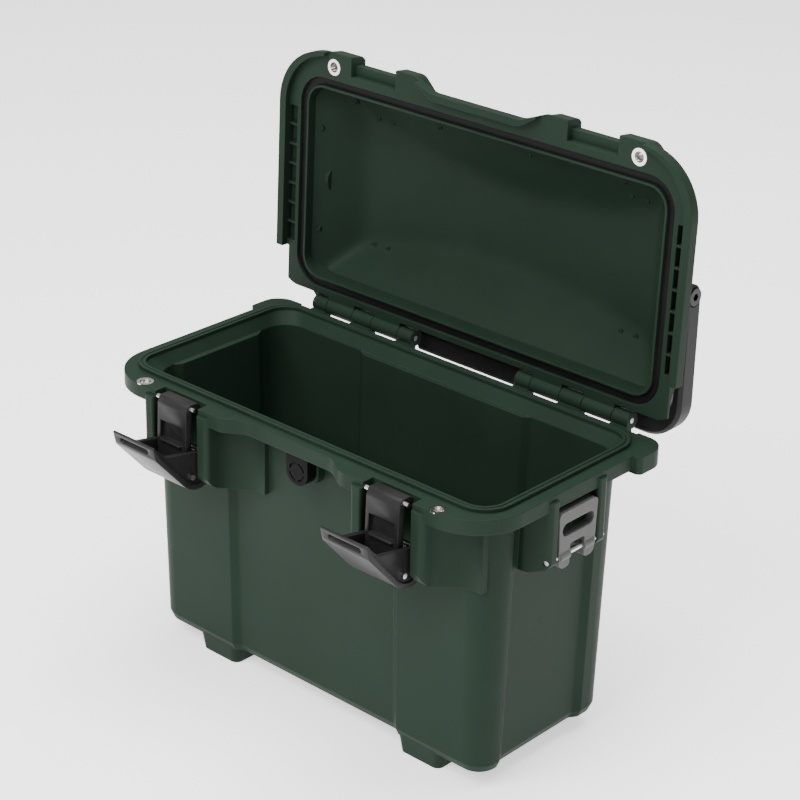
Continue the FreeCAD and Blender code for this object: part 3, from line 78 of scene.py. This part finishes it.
studio = {
    "floorHalf": 7.0,
    "floorColour": (0.94, 0.94, 0.94, 1),
    "floorGlow": 1.0,                   # the floor is lit from below, as a studio table is
    "floorClouds": 1.5,                 # scale of the faint clouds in its colour
    "floorDarker": 0.985,
    "floorRoughness": 0.8,
    "surround": (1.0, 1.0, 1.0, 1),
    "surroundStrength": 0.5,
}
colourStops = (0.3, 0.7)                # where the two colours of a finish stand on its noise
lamps = {
    "keyLamp": {"place": (1.7, -0.7, 1.9), "aim": (0, 0, 0.2), "width": 1.3, "power": 6},
    "fillLamp": {"place": (-0.2, -1.9, 2.3), "aim": (0, 0, 0.3), "width": 1.8, "power": 105},
    "topLamp": {"place": (0.1, 0.3, 2.4), "aim": (0, 0, 0), "width": 1.6, "power": 85},
}


def startMaterial(name):
    material = bpy.data.materials.new(name)
    material.use_nodes = True
    tree = material.node_tree
    return material, tree, tree.nodes["Principled BSDF"]


def addNode(tree, kind, settings=None):
    node = tree.nodes.new(kind)
    for key, value in (settings or {}).items():
        setattr(node, key, value)
    return node


def addNoise(tree, coords, scale, detail=2.0, rough=0.5):
    noise = addNode(tree, "ShaderNodeTexNoise")
    noise.inputs["Scale"].default_value = scale
    noise.inputs["Detail"].default_value = detail
    noise.inputs["Roughness"].default_value = rough
    tree.links.new(coords.outputs["Object"], noise.inputs["Vector"])
    return noise


def addRange(tree, source, low, high, fromLow=0.0, fromHigh=1.0):
    ranged = addNode(tree, "ShaderNodeMapRange")
    ranged.inputs["From Min"].default_value = fromLow
    ranged.inputs["From Max"].default_value = fromHigh
    ranged.inputs["To Min"].default_value = low
    ranged.inputs["To Max"].default_value = high
    tree.links.new(source, ranged.inputs["Value"])
    return ranged.outputs["Result"]


def addColours(tree, factor, colours):
    ramp = addNode(tree, "ShaderNodeValToRGB")
    for i in (0, 1):
        ramp.color_ramp.elements[i].position = colourStops[i]
        ramp.color_ramp.elements[i].color = colours[i]
    tree.links.new(factor, ramp.inputs["Fac"])
    return ramp.outputs["Color"]


def setStudio(look):
    bpy.ops.mesh.primitive_plane_add(size=2 * look["floorHalf"])
    floor = bpy.context.object
    floor.name = "studioFloor"
    material, tree, shader = startMaterial("paleFloor")
    coords = addNode(tree, "ShaderNodeTexCoord")
    cloud = addNoise(tree, coords, look["floorClouds"])
    pale = look["floorColour"]
    darker = tuple(look["floorDarker"] * c for c in pale[:3]) + (1,)
    tree.links.new(addColours(tree, cloud.outputs["Fac"], (darker, pale)), shader.inputs["Base Color"])
    shader.inputs["Roughness"].default_value = look["floorRoughness"]
    shader.inputs["Emission Color"].default_value = look["surround"]
    shader.inputs["Emission Strength"].default_value = look["floorGlow"]
    floor.data.materials.append(material)
    world = bpy.data.worlds.new("studioSurround")
    world.use_nodes = True
    sky = world.node_tree.nodes["Background"]
    sky.inputs["Color"].default_value = look["surround"]
    sky.inputs["Strength"].default_value = look["surroundStrength"]
    bpy.context.scene.world = world


def addLamp(name, look):
    bpy.ops.object.light_add(type="AREA", location=look["place"])
    lamp = bpy.context.object
    lamp.name = name
    lamp.data.size = look["width"]
    lamp.data.energy = look["power"]
    away = Vector(look["place"]) - Vector(look["aim"])
    lamp.rotation_euler = away.to_track_quat("Z", "Y").to_euler()


setStudio(studio)
for lampName, lampLook in lamps.items():
    addLamp(lampName, lampLook)
print("studio set,", len(lamps), "lamps")


# Finishes of the moulded pieces: cloudy colour, a fine mould grain and a painted highlight, a paler colour
# along the edges

shellFinish = {
    "colours": ((0.0112, 0.0218, 0.0142, 1), (0.0138, 0.0258, 0.0172, 1)),
    # paler colour of the painted highlight along the edges, and how much of it is mixed in
    "paintedHighlight": (0.026, 0.045, 0.032, 1),
    "paintedHighlightShare": 0.55,
    "roughness": (0.40, 0.52),
    "cloud": 14.0,
    "grain": 1500.0,
    "grainDepth": 0.00010,
    "edge": 0.0012,
    "gloss": 0.05,
}
latchFinish = {
    "colours": ((0.012, 0.012, 0.012, 1), (0.018, 0.0175, 0.0175, 1)),
    # paler colour of the painted highlight along the edges, and how much of it is mixed in
    "paintedHighlight": (0.05, 0.05, 0.05, 1),
    "paintedHighlightShare": 0.5,
    "roughness": (0.30, 0.42),
    "cloud": 40.0,
    "grain": 2200.0,
    "grainDepth": 0.00006,
    "edge": 0.0007,
    "gloss": 0.12,
}
handleFinish = dict(latchFinish, roughness=(0.42, 0.55), grain=1300.0, grainDepth=0.00012, edge=0.0012)
gripFinish = dict(latchFinish, colours=((0.008, 0.008, 0.008, 1), (0.012, 0.012, 0.012, 1)),
                  roughness=(0.6, 0.75), grain=700.0, grainDepth=0.0004)
# the valve's painted edge highlight is dimmer
valveFinish = dict(latchFinish, colours=((0.004, 0.004, 0.0042, 1), (0.006, 0.006, 0.0062, 1)),
                   paintedHighlight=(0.025, 0.025, 0.025, 1), gloss=0.03)
# the rubber takes only a little painted edge highlight
gasketFinish = dict(latchFinish, colours=((0.0035, 0.0035, 0.0035, 1), (0.006, 0.006, 0.006, 1)),
                    paintedHighlightShare=0.15, roughness=(0.5, 0.62), grain=2600.0, edge=0.0005)
# the bracket's painted edge highlight is a pale grey
bracketFinish = dict(latchFinish, colours=((0.070, 0.069, 0.068, 1), (0.084, 0.083, 0.082, 1)),
                     paintedHighlight=(0.20, 0.198, 0.195, 1), roughness=(0.38, 0.5))
mouldedLook = {
    "edgeSamples": 6,
    "edgeTurn": (0.72, 0.99),           # cosines between which an edge goes from painted highlight to plain colour
    "cloudNoise": (4.0, 0.6),           # detail and roughness
    "grainNoise": (3.0, 0.6),
    "grainStrength": 0.5,
}


def mouldedMaterial(name, look):
    material, tree, shader = startMaterial(name)
    shader.inputs["Specular IOR Level"].default_value = look["gloss"]
    link = tree.links.new
    coords = addNode(tree, "ShaderNodeTexCoord")
    soft = addNode(tree, "ShaderNodeBevel", {"samples": mouldedLook["edgeSamples"]})
    soft.inputs["Radius"].default_value = look["edge"]
    surface = addNode(tree, "ShaderNodeNewGeometry")
    along = addNode(tree, "ShaderNodeVectorMath", {"operation": "DOT_PRODUCT"})
    link(soft.outputs["Normal"], along.inputs[0])
    link(surface.outputs["Normal"], along.inputs[1])
    # painted highlight: a paler colour mixed in along edges, where the softened normal leans away from the
    # face's own
    edge = addRange(tree, along.outputs["Value"], look["paintedHighlightShare"], 0.0, *mouldedLook["edgeTurn"])
    cloud = addNoise(tree, coords, look["cloud"], *mouldedLook["cloudNoise"])
    plain = addColours(tree, cloud.outputs["Fac"], look["colours"])
    paintedHighlight = addNode(tree, "ShaderNodeMix", {"data_type": "RGBA"})
    link(edge, paintedHighlight.inputs["Factor"])
    link(plain, paintedHighlight.inputs["A"])
    paintedHighlight.inputs["B"].default_value = look["paintedHighlight"]
    link(paintedHighlight.outputs["Result"], shader.inputs["Base Color"])
    grain = addNoise(tree, coords, look["grain"], *mouldedLook["grainNoise"])
    link(addRange(tree, cloud.outputs["Fac"], *look["roughness"]), shader.inputs["Roughness"])
    bump = addNode(tree, "ShaderNodeBump")
    bump.inputs["Strength"].default_value = mouldedLook["grainStrength"]
    bump.inputs["Distance"].default_value = look["grainDepth"]
    link(grain.outputs["Fac"], bump.inputs["Height"])
    link(soft.outputs["Normal"], bump.inputs["Normal"])
    link(bump.outputs["Normal"], shader.inputs["Normal"])
    return material


# Finishes of the metal pieces: drawn pins with fine rings of tool marks, plated eyelets

steelFinish = {"colours": ((0.42, 0.42, 0.43, 1), (0.62, 0.62, 0.63, 1)), "roughness": (0.22, 0.38),
               "marks": 900.0, "marksDepth": 0.00002}
nickelFinish = {"colours": ((0.74, 0.73, 0.71, 1), (0.82, 0.81, 0.79, 1)), "roughness": (0.12, 0.24),
                "marks": 400.0, "marksDepth": 0.00001}
boltFinish = {"colours": ((0.020, 0.020, 0.021, 1), (0.035, 0.035, 0.036, 1)), "roughness": (0.30, 0.44),
              "marks": 700.0, "marksDepth": 0.00002}
metalLook = {
    "marksStretch": (1.0, 0.06, 0.06),  # marks run round the pin
    "marksDetail": 3.0,
    "marksStrength": 0.4,
}


def metalMaterial(name, look):
    material, tree, shader = startMaterial(name)
    link = tree.links.new
    coords = addNode(tree, "ShaderNodeTexCoord")
    stretch = addNode(tree, "ShaderNodeMapping")
    stretch.inputs["Scale"].default_value = metalLook["marksStretch"]
    link(coords.outputs["Object"], stretch.inputs["Vector"])
    marks = addNode(tree, "ShaderNodeTexNoise")
    marks.inputs["Scale"].default_value = look["marks"]
    marks.inputs["Detail"].default_value = metalLook["marksDetail"]
    link(stretch.outputs["Vector"], marks.inputs["Vector"])
    link(addColours(tree, marks.outputs["Fac"], look["colours"]), shader.inputs["Base Color"])
    link(addRange(tree, marks.outputs["Fac"], *look["roughness"]), shader.inputs["Roughness"])
    shader.inputs["Metallic"].default_value = 1.0
    bump = addNode(tree, "ShaderNodeBump")
    bump.inputs["Strength"].default_value = metalLook["marksStrength"]
    bump.inputs["Distance"].default_value = look["marksDepth"]
    link(marks.outputs["Fac"], bump.inputs["Height"])
    link(bump.outputs["Normal"], shader.inputs["Normal"])
    return material


shellGreen = mouldedMaterial("shellGreen", shellFinish)
latchBlack = mouldedMaterial("latchBlack", latchFinish)
handleBlack = mouldedMaterial("handleBlack", handleFinish)
gripRubber = mouldedMaterial("gripRubber", gripFinish)
valveGrey = mouldedMaterial("valveGrey", valveFinish)
gasketRubber = mouldedMaterial("gasketRubber", gasketFinish)
bracketGrey = mouldedMaterial("bracketGrey", bracketFinish)
pinSteel = metalMaterial("pinSteel", steelFinish)
eyeletNickel = metalMaterial("eyeletNickel", nickelFinish)
boltBlack = metalMaterial("boltBlack", boltFinish)

finishOf = {
    "base_tub": shellGreen,
    "lid_shell": shellGreen,
    "lid_gasket": gasketRubber,
    "valve_seal": gasketRubber,
    "valve_body": valveGrey,
    "valve_nut": valveGrey,
    "handle_bail": handleBlack,
    "handle_grip": gripRubber,
    "handle_bolt": boltBlack,
    "handle_washer": gripRubber,
    "latch_lever": latchBlack,
    "latch_claw": latchBlack,
    "claw_spring": pinSteel,
    "lever_pin": pinSteel,
    "claw_pin": pinSteel,
    "hook_pin": pinSteel,
    "hinge_pin": pinSteel,
    "strap_pin": pinSteel,
    "strap_bracket": bracketGrey,
    "tub_eyelets": eyeletNickel,
    "lid_eyelets": eyeletNickel,
}
for nodeName, node in nodes.items():
    kind = nodeName.removesuffix("_left").removesuffix("_right")
    node.data.materials.clear()
    node.data.materials.append(finishOf[kind])
print("finishes given to", len(nodes), "nodes")


# Drawing with Blender's own tools: an outline is drawn point by point, filled, rounded and given its width.
# The steps of every rounding and the angles of shading are set here.

mm = 0.001
drawing = {
    "cornerSteps": 7,
    "blockSteps": 6,
    "drillSides": 32,
    "edgeSteps": 2,
    "edgeAngle": 38,                    # degrees, below which a crease isn't softened
    "shadeAngle": 32,
    "aligned": 0.9,                     # share of a direction that counts as along an axis
}
jointOf = {joint["name"]: joint for joint in frame["joints"]}


def clearSelection():
    bpy.ops.object.select_all(action="DESELECT")


def choose(piece):
    clearSelection()
    piece.select_set(True)
    bpy.context.view_layer.objects.active = piece


def applyPlace(piece):
    choose(piece)
    bpy.ops.object.transform_apply(location=True, rotation=True, scale=True)


def pickCorner(piece, place):
    net = bmesh.from_edit_mesh(piece.data)
    nearest = min(net.verts, key=lambda corner: (corner.co - place).length)
    for corner in net.verts:
        corner.select_set(False)
    nearest.select_set(True)
    net.select_flush_mode()
    bmesh.update_edit_mesh(piece.data)


def cornerReach(before, here, after, radius):
    turn = (before - here).angle(after - here)
    return radius * mm / tan(turn / 2)


def drawPlate(name, outline, span):
    places = [Vector((span[0], y, z)) * mm for y, z, radius in outline]
    clearSelection()
    bpy.ops.mesh.primitive_plane_add(size=mm, location=places[0])
    plate = bpy.context.object
    plate.name = name
    applyPlace(plate)
    bpy.ops.object.mode_set(mode="EDIT")
    bpy.ops.mesh.select_all(action="SELECT")
    bpy.ops.mesh.merge(type="CENTER")          # one point, from which the outline is drawn
    for here, there in zip(places, places[1:]):
        bpy.ops.mesh.extrude_region_move(TRANSFORM_OT_translate={"value": there - here})
    bpy.ops.mesh.select_all(action="SELECT")
    bpy.ops.mesh.edge_face_add()
    for i, corner in enumerate(outline):
        if corner[2]:
            reach = cornerReach(places[i - 1], places[i], places[(i + 1) % len(places)], corner[2])
            pickCorner(plate, places[i])
            bpy.ops.mesh.bevel(offset=reach, offset_type="ABSOLUTE", segments=drawing["cornerSteps"],
                               affect="VERTICES")
    bpy.ops.mesh.select_all(action="SELECT")
    bpy.ops.mesh.extrude_region_move(TRANSFORM_OT_translate={"value": ((span[1] - span[0]) * mm, 0, 0)})
    bpy.ops.mesh.select_all(action="SELECT")
    bpy.ops.mesh.normals_make_consistent(inside=False)
    bpy.ops.object.mode_set(mode="OBJECT")
    return plate


def drawBlock(name, low, high, rounding, axis):
    middle = (Vector(low) + Vector(high)) * mm / 2
    clearSelection()
    bpy.ops.mesh.primitive_cube_add(size=1, location=middle, scale=(Vector(high) - Vector(low)) * mm)
    block = bpy.context.object
    block.name = name
    applyPlace(block)
    bpy.ops.object.mode_set(mode="EDIT")
    net = bmesh.from_edit_mesh(block.data)
    for edge in net.edges:
        along = edge.verts[0].co - edge.verts[1].co
        edge.select_set(abs(along.normalized()[axis]) > drawing["aligned"])
    bmesh.update_edit_mesh(block.data)
    bpy.ops.mesh.bevel(offset=rounding * mm, segments=drawing["blockSteps"], affect="EDGES")
    bpy.ops.object.mode_set(mode="OBJECT")
    return block


def drawDrill(name, place, radius, length):
    clearSelection()
    bpy.ops.mesh.primitive_cylinder_add(vertices=drawing["drillSides"], radius=radius * mm,
                                        depth=length * mm, location=Vector(place) * mm,
                                        rotation=(0, pi / 2, 0))
    drill = bpy.context.object
    drill.name = name
    applyPlace(drill)
    return drill


def combine(piece, tool, operation):
    choose(piece)
    change = piece.modifiers.new(operation, "BOOLEAN")
    change.operation = operation
    change.object = tool
    change.solver = "EXACT"
    bpy.ops.object.modifier_apply(modifier=change.name)
    bpy.data.objects.remove(tool, do_unlink=True)


def softenEdges(piece, width):
    choose(piece)
    soft = piece.modifiers.new("softEdges", "BEVEL")
    soft.width = width * mm
    soft.segments = drawing["edgeSteps"]
    soft.limit_method = "ANGLE"
    soft.angle_limit = radians(drawing["edgeAngle"])
    soft.use_clamp_overlap = True
    bpy.ops.object.modifier_apply(modifier=soft.name)
    bpy.ops.object.shade_smooth_by_angle(angle=radians(drawing["shadeAngle"]))


def copyPiece(piece, name):
    choose(piece)
    bpy.ops.object.duplicate(linked=False)
    twin = bpy.context.object
    twin.name = name
    return twin


def finishPiece(piece, name, place, material, slotName, body, *stoodFor):
    piece.name = name
    piece.matrix_world = place
    applyPlace(piece)
    piece.data.materials.clear()
    piece.data.materials.append(material)
    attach(piece, body)
    if stoodFor:
        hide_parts(*stoodFor)


def turnAt(joint, angle):
    return Matrix.Translation(jointOf[joint]["pos_m"]) @ Matrix.Rotation(radians(angle), 4, "X")


# Latch levers: a strip bent over at its tab, two cheeks that hold the pins, and a slot in the tab.
# Outlines are (y, z, corner radius) in mm from the lever's own pin, with the lever shut.

leverShape = {
    "width": 43,
    "strip": [(-27.0, 65.5, 1.2), (-33, 55, 6), (-33, -5, 20), (-6, -5, 0), (-6, -1, 0), (-29, -1, 16),
              (-29, 53, 3), (-26.2, 62.5, 0)],
    "cheek": [(-27.4, 63.6, 0), (-31.5, 55, 5), (-31.5, -3.5, 18.5), (6, -6, 5.4), (6, 6, 5.4),
              (-9, 24, 8), (-25.5, 46, 3), (-26.4, 61, 0)],
    "cheekInset": 1.6,
    "cheekWall": 4,
    "slot": ((-15, -45, 57.6), (15, -15, 61.6)),
    "slotRound": 1.9,
    "pinHole": 2.05,
    "clawPin": (0, -23.5, 12),
    "edge": 0.55,
}


def makeLever(shape):
    half = shape["width"] / 2
    lever = drawPlate("leverStrip", shape["strip"], (-half, half))
    outer = half - shape["cheekInset"]
    inner = outer - shape["cheekWall"]
    for span in ((inner, outer), (-outer, -inner)):
        combine(lever, drawPlate("leverCheek", shape["cheek"], span), "UNION")
    combine(lever, drawBlock("leverSlot", *shape["slot"], shape["slotRound"], 1), "DIFFERENCE")
    for place in ((0, 0, 0), shape["clawPin"]):
        combine(lever, drawDrill("leverEye", place, shape["pinHole"], 2 * shape["width"]), "DIFFERENCE")
    softenEdges(lever, shape["edge"])
    return lever


# Latch claws: a stem with a rounded head that hooks over the lid, and a recess with a tongue below it.
# The outline is taken from the claw's pin in the lever.

clawShape = {
    "width": 30,
    "body": [(-1.9, 49, 4), (-1.9, 9, 6), (-4.5, 1, 3), (-2.5, -4.5, 2.5), (4.5, -4.5, 3), (3.5, 10, 12),
             (3.5, 48.4, 1), (11, 48.4, 0.8), (11, 54.4, 2.5), (0, 54.4, 2.5)],
    "recess": ((-12, -6, 22), (12, 1.1, 36)),
    "recessRound": 1.5,
    "tongue": [(1.6, 19.2, 0), (-3.6, 19.8, 0.8), (-3.6, 21.8, 0.8), (1.6, 22.4, 0)],
    "tongueHalf": 10.5,
    "pinHole": 2.05,
    "hookPin": (0, 2.42, 51.4),
    "hookHole": 1.62,
    "edge": 0.5,
}


def makeClaw(shape):
    half = shape["width"] / 2
    claw = drawPlate("clawBody", shape["body"], (-half, half))
    combine(claw, drawBlock("clawRecess", *shape["recess"], shape["recessRound"], 2), "DIFFERENCE")
    tongue = drawPlate("clawTongue", shape["tongue"], (-shape["tongueHalf"], shape["tongueHalf"]))
    combine(claw, tongue, "UNION")
    through = 2 * shape["width"]
    combine(claw, drawDrill("clawEye", (0, 0, 0), shape["pinHole"], through), "DIFFERENCE")
    combine(claw, drawDrill("hookEye", shape["hookPin"], shape["hookHole"], through), "DIFFERENCE")
    softenEdges(claw, shape["edge"])
    return claw


def placeLatches(lever, claw):
    for side in ("left", "right"):
        opened = jointOf["latch_" + side]["range_deg"][1]
        tilted = jointOf["claw_tilt_" + side]["range_deg"][0]
        leverPlace = turnAt("latch_" + side, opened)
        clawPlace = turnAt("claw_tilt_" + side, opened + tilted)
        finishPiece(copyPiece(lever, "lever"), "latchLever_" + side, leverPlace,
                    latchBlack, "latch", "lever_" + side, "latch_lever_" + side)
        finishPiece(copyPiece(claw, "claw"), "latchClaw_" + side, clawPlace,
                    latchBlack, "latch", "claw_" + side, "latch_claw_" + side)
    for pattern in (lever, claw):
        bpy.data.objects.remove(pattern, do_unlink=True)


placeLatches(makeLever(leverShape), makeClaw(clawShape))
print("latches modelled, 2 levers and 2 claws")


# Lining of the lid: one moulded skin whose slopes run up from the seal into a crowned ceiling.
# Sizes in mm from the middle of the rim, with the lid shut.

liningShape = {
    "halfLength": 170.0,
    "halfWidth": 76.8,
    "corner": 16.0,
    "cells": (84, 40),
    "ceiling": 51.4,
    "crown": 700.0,                        # radius of the ceiling along the case
    "frontSlope": ((83, 21), (23, 52)),    # distance from the middle, and height
    "backSlope": ((80, 13), (36, 52)),
    "endSlope": ((167, 11), (133, 45)),
    "softness": 5.0,                       # how far the creases are rounded
    "skin": 1.6,
    "shadeAngle": 50,                      # degrees
    "hinge": (98.97, 3.39),                # the hinge's own place in these sizes
}
studShape = {
    "radius": 2.0,
    "rise": 1.0,
    "sides": 20,
    "dimple": 0.5,
    "dimpleInset": 0.35,                   # share of the radius
    "edge": 0.25,
    # each of these has a twin across the middle
    "pairs": ((166, -40), (166, 42), (129, 52), (115, 52), (129, -51.5), (115, -51.5)),
    "singles": ((-147, -62), (-63, -61), (24, -60.5), (112, -62)),
}


def slopeHeight(distance, slope):
    (foot, low), (top, high) = slope
    return low + (foot - distance) * (high - low) / (foot - top)


def softLeast(first, second, softness):
    mix = max(0.0, min(1.0, 0.5 + 0.5 * (second - first) / softness))
    return second + (first - second) * mix - softness * mix * (1 - mix)


def liningHeight(x, y, shape):
    height = shape["ceiling"] - x * x / (2 * shape["crown"])
    height = softLeast(height, slopeHeight(-y, shape["frontSlope"]), shape["softness"])
    height = softLeast(height, slopeHeight(y, shape["backSlope"]), shape["softness"])
    return softLeast(height, slopeHeight(abs(x), shape["endSlope"]), shape["softness"])


def roundedPlan(u, v, shape):
    # from a square of -1 to 1 to a rectangle with round corners
    x, y = u * shape["halfLength"], v * shape["halfWidth"]
    cornerRound = shape["corner"]
    overX = abs(x) - shape["halfLength"] + cornerRound
    overY = abs(y) - shape["halfWidth"] + cornerRound
    if overX > 0 and overY > 0:
        newX = overX * sqrt(1 - (overY / cornerRound) ** 2 / 2)
        newY = overY * sqrt(1 - (overX / cornerRound) ** 2 / 2)
        x = copysign(shape["halfLength"] - cornerRound + newX, x)
        y = copysign(shape["halfWidth"] - cornerRound + newY, y)
    return x, y


def makeLining(shape):
    clearSelection()
    cellsAlong, cellsAcross = shape["cells"]
    bpy.ops.mesh.primitive_grid_add(x_subdivisions=cellsAlong, y_subdivisions=cellsAcross, size=2)
    lining = bpy.context.object
    hingeY, hingeZ = shape["hinge"]
    for corner in lining.data.vertices:
        x, y = roundedPlan(corner.co.x, corner.co.y, shape)
        corner.co = Vector((x, y - hingeY, liningHeight(x, y, shape) - hingeZ)) * mm
    choose(lining)
    bpy.ops.object.mode_set(mode="EDIT")
    bpy.ops.mesh.select_all(action="SELECT")
    bpy.ops.mesh.flip_normals()                 # the seen side looks out of the lid
    bpy.ops.object.mode_set(mode="OBJECT")
    wall = lining.modifiers.new("skin", "SOLIDIFY")
    wall.thickness = shape["skin"] * mm
    wall.offset = -1
    bpy.ops.object.modifier_apply(modifier=wall.name)
    bpy.ops.object.shade_smooth_by_angle(angle=radians(shape["shadeAngle"]))
    return lining


def makeStud(shape):
    clearSelection()
    bpy.ops.mesh.primitive_cylinder_add(vertices=shape["sides"], radius=shape["radius"] * mm,
                                        depth=2 * shape["rise"] * mm)
    stud = bpy.context.object
    bpy.ops.object.mode_set(mode="EDIT")
    net = bmesh.from_edit_mesh(stud.data)
    for face in net.faces:
        face.select_set(face.normal.z < -drawing["aligned"])
    bmesh.update_edit_mesh(stud.data)
    bpy.ops.mesh.inset(thickness=shape["dimpleInset"] * shape["radius"] * mm)
    bpy.ops.mesh.extrude_region_move(TRANSFORM_OT_translate={"value": (0, 0, shape["dimple"] * mm)})
    bpy.ops.object.mode_set(mode="OBJECT")
    softenEdges(stud, shape["edge"])
    return stud


def makeStuds(shape, lining):
    pattern = makeStud(shape)
    studs = []
    hingeY, hingeZ = lining["hinge"]
    mirrored = tuple((-x, y) for x, y in shape["pairs"])
    for i, (x, y) in enumerate(shape["pairs"] + mirrored + shape["singles"]):
        stud = copyPiece(pattern, f"stud{i}")
        stud.location = Vector((x, y - hingeY, liningHeight(x, y, lining) - hingeZ)) * mm
        studs.append(stud)
    bpy.data.objects.remove(pattern, do_unlink=True)
    clearSelection()
    for stud in studs:
        stud.select_set(True)
    bpy.context.view_layer.objects.active = studs[0]
    bpy.ops.object.join()
    applyPlace(studs[0])
    return studs[0]


lidOpen = turnAt("lid_hinge", -jointOf["lid_hinge"]["range_deg"][1])
finishPiece(makeLining(liningShape), "lidLining", lidOpen, shellGreen, "shell", "lid")
finishPiece(makeStuds(studShape, liningShape), "liningStuds", lidOpen, shellGreen, "shell", "lid")
print("lid lined and studded")
